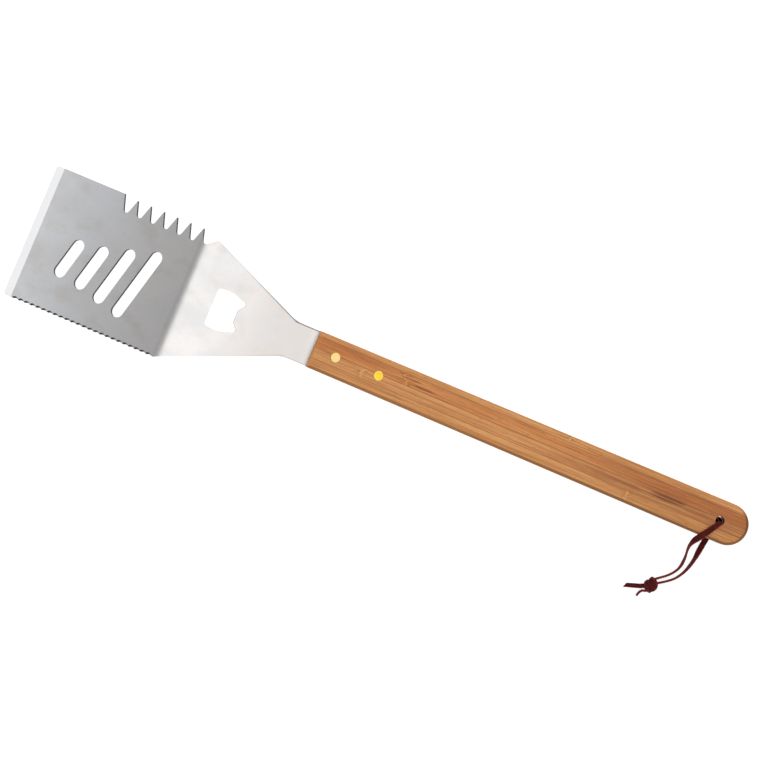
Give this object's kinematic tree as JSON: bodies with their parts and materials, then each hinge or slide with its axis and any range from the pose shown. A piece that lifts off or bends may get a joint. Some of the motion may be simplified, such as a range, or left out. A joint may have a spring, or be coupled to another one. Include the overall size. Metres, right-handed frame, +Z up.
{
  "type": "grill spatula",
  "caption": "Long-handled slotted grill spatula with tenderizer teeth, serrated edge, bottle opener in the shank, riveted bamboo handle and a leather hanging loop.",
  "frame": {"origin": "middle of the spatula's own box on the ground, without the lace", "axes": "the spatula lies face down as an arch: +X from the blade to the butt, +Y to the toothed side, +Z up"},
  "size_m": [0.4466, 0.0984, 0.0445],
  "materials": {
    "stainless_steel": "satin",
    "bamboo_light": "oiled, fine straight grain",
    "bamboo_dark": "oiled, fine straight grain",
    "bamboo_middle": "oiled, fine straight grain",
    "brass": "polished flat",
    "leather": "waxed"
  },
  "bodies": {
    "spatula": {"spatula_head": "stainless_steel", "bamboo_strip_1": "bamboo_light", "bamboo_strip_2": "bamboo_dark", "bamboo_strip_3": "bamboo_middle", "bamboo_strip_4": "bamboo_light", "front_rivet_male": "brass", "front_rivet_female": "brass", "rear_rivet_male": "brass", "rear_rivet_female": "brass"},
    "lace": {"lace_front_strand": "leather", "lace_back_strand": "leather", "lace_knot": "leather", "lace_tail_long": "leather", "lace_tail_curled": "leather"}
  },
  "joints": [
    {"name": "lace_swing", "type": "hinge", "parent": "spatula", "child": "lace", "pos_m": [0.20567, 0, 0.00903], "axis": [0.1038, 0, 0.9946], "range_deg": [0, 228]}
  ]
}
